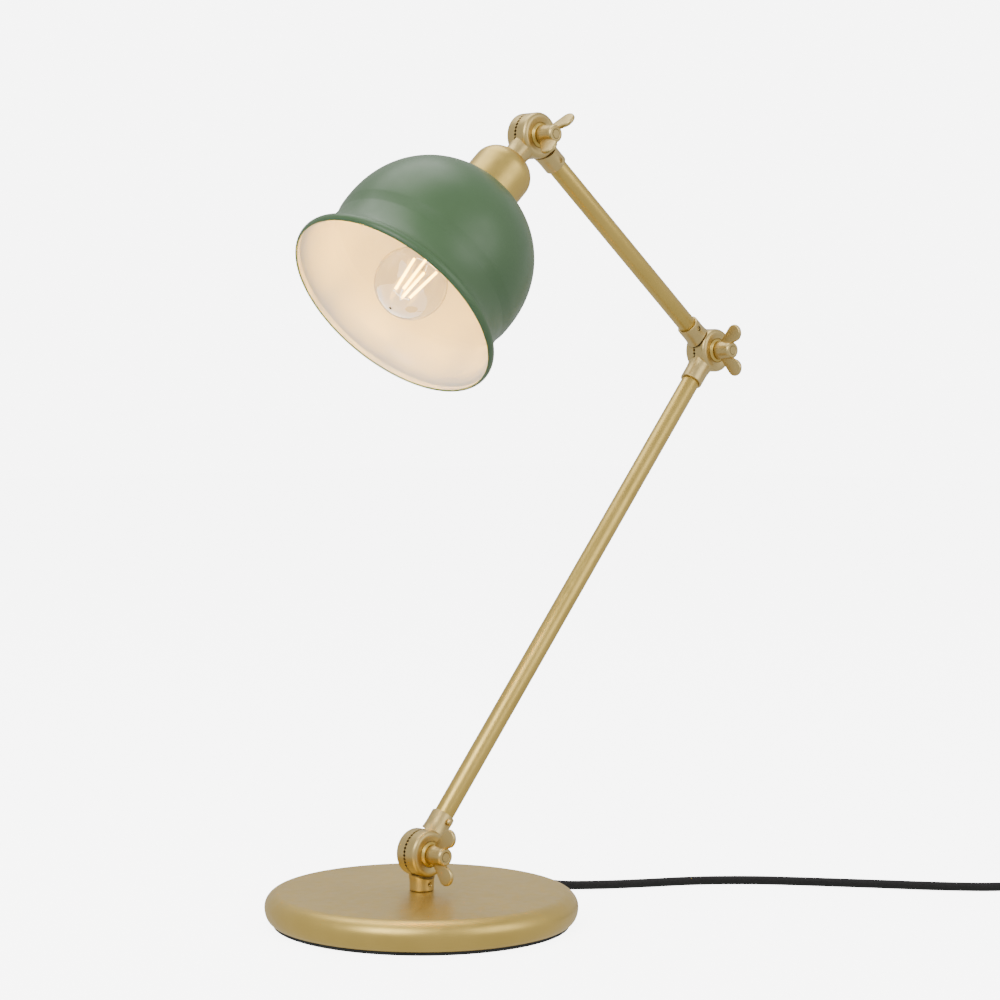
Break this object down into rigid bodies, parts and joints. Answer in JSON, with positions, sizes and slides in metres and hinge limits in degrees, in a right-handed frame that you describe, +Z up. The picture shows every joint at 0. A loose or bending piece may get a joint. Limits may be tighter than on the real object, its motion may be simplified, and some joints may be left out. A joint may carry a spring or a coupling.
{
  "type": "swing arm desk lamp",
  "caption": "Desk lamp with a round weighted base, two tubular arms on toothed knuckles with wing nuts, and a domed flared shade.",
  "frame": {"origin": "centre of the base's underside, on the table", "axes": "+Z up; the arms swing in the XZ plane; the shade hangs towards -X; the wing nuts face -Y"},
  "size_m": [0.6648, 0.3493, 0.5204],
  "materials": {
    "satin_brass": "satin, lightly aged, lacquered brass",
    "steel": "zinc plated",
    "nickel": "nickel plated",
    "iron": "as cast",
    "pad": "matt foam",
    "black_rubber": "matt",
    "black_plastic": "fine texture",
    "phenolic": "moulded, semi-gloss",
    "ceramic": "glazed",
    "black_braid": "woven braid over the insulation",
    "green_enamel": "satin reed green",
    "white_enamel": "gloss white",
    "glass": "clear",
    "filament": "lit amber coating"
  },
  "bodies": {
    "stand": {"base_flex": "black_braid", "base_nipple": "steel", "base_pad": "pad", "base_shell": "satin_brass", "base_weight": "iron", "nipple_nut": "steel", "cord_clamp": "steel", "strain_relief": "black_rubber", "cord_lead": "black_braid", "cord_link": "black_braid", "cord_tail": "black_braid", "cord_coil": "black_braid", "switch_base": "black_plastic", "switch_cover": "black_plastic", "plug_body": "black_rubber", "plug_pin_left": "steel", "plug_pin_right": "steel", "stand_bolt": "satin_brass", "stand_knuckle": "satin_brass", "stand_knuckle_grub_screw": "steel"},
    "lower_arm": {"stand_washer": "satin_brass", "lower_arm_foot_knuckle": "satin_brass", "lower_arm_foot_knuckle_grub_screw": "steel", "lower_arm_tube": "satin_brass", "lower_arm_flex": "black_braid", "lower_arm_elbow_knuckle": "satin_brass", "lower_arm_elbow_knuckle_grub_screw": "steel", "elbow_washer": "satin_brass"},
    "upper_arm": {"elbow_bolt": "satin_brass", "upper_arm_elbow_knuckle": "satin_brass", "upper_arm_elbow_knuckle_grub_screw": "steel", "upper_arm_tube": "satin_brass", "upper_arm_flex": "black_braid", "upper_arm_head_knuckle": "satin_brass", "upper_arm_head_knuckle_grub_screw": "steel", "head_bolt": "satin_brass"},
    "head": {"head_washer": "satin_brass", "head_knuckle": "satin_brass", "head_knuckle_grub_screw": "steel", "head_nipple": "steel", "shade_cup": "satin_brass", "shade": "green_enamel", "shade_clamp_ring": "phenolic", "lampholder_cap": "phenolic", "lampholder_skirt": "phenolic", "lampholder_core": "ceramic", "lampholder_thread": "satin_brass", "centre_contact": "steel", "bulb_cap": "nickel", "bulb_insulator": "phenolic", "bulb_tip_contact": "nickel", "bulb_globe": "glass", "bulb_stem": "glass", "filament_mount": "filament"},
    "stand_nut": {"stand_wing_nut": "satin_brass"},
    "elbow_nut": {"elbow_wing_nut": "satin_brass"},
    "head_nut": {"head_wing_nut": "satin_brass"},
    "rocker": {"switch_rocker": "black_rubber"}
  },
  "joints": [
    {"name": "lower_tilt", "type": "hinge", "parent": "stand", "child": "lower_arm", "pos_m": [0, 0, 0.0451], "axis": [0, -1, 0], "range_deg": [-35, 75]},
    {"name": "elbow_bend", "type": "hinge", "parent": "lower_arm", "child": "upper_arm", "pos_m": [0.26764, 0, 0.36748], "axis": [0, -1, 0], "range_deg": [-90, 20]},
    {"name": "head_tilt", "type": "hinge", "parent": "upper_arm", "child": "head", "pos_m": [0.09303, 0, 0.50538], "axis": [0, -1, 0], "range_deg": [-90, 30]},
    {"name": "stand_nut_turn", "type": "hinge", "parent": "stand", "child": "stand_nut", "pos_m": [0, 0, 0.0451], "axis": [0, -1, 0], "range_deg": [0, 360]},
    {"name": "elbow_nut_turn", "type": "hinge", "parent": "upper_arm", "child": "elbow_nut", "pos_m": [0.26764, 0, 0.36748], "axis": [0, -1, 0], "range_deg": [0, 360]},
    {"name": "head_nut_turn", "type": "hinge", "parent": "upper_arm", "child": "head_nut", "pos_m": [0.09303, 0, 0.50538], "axis": [0, -1, 0], "range_deg": [0, 360]},
    {"name": "rocker_tilt", "type": "hinge", "parent": "stand", "child": "rocker", "pos_m": [0.44046, -0.15285, 0.012], "axis": [0.7254, -0.6884, 0], "range_deg": [0, 14]}
  ]
}
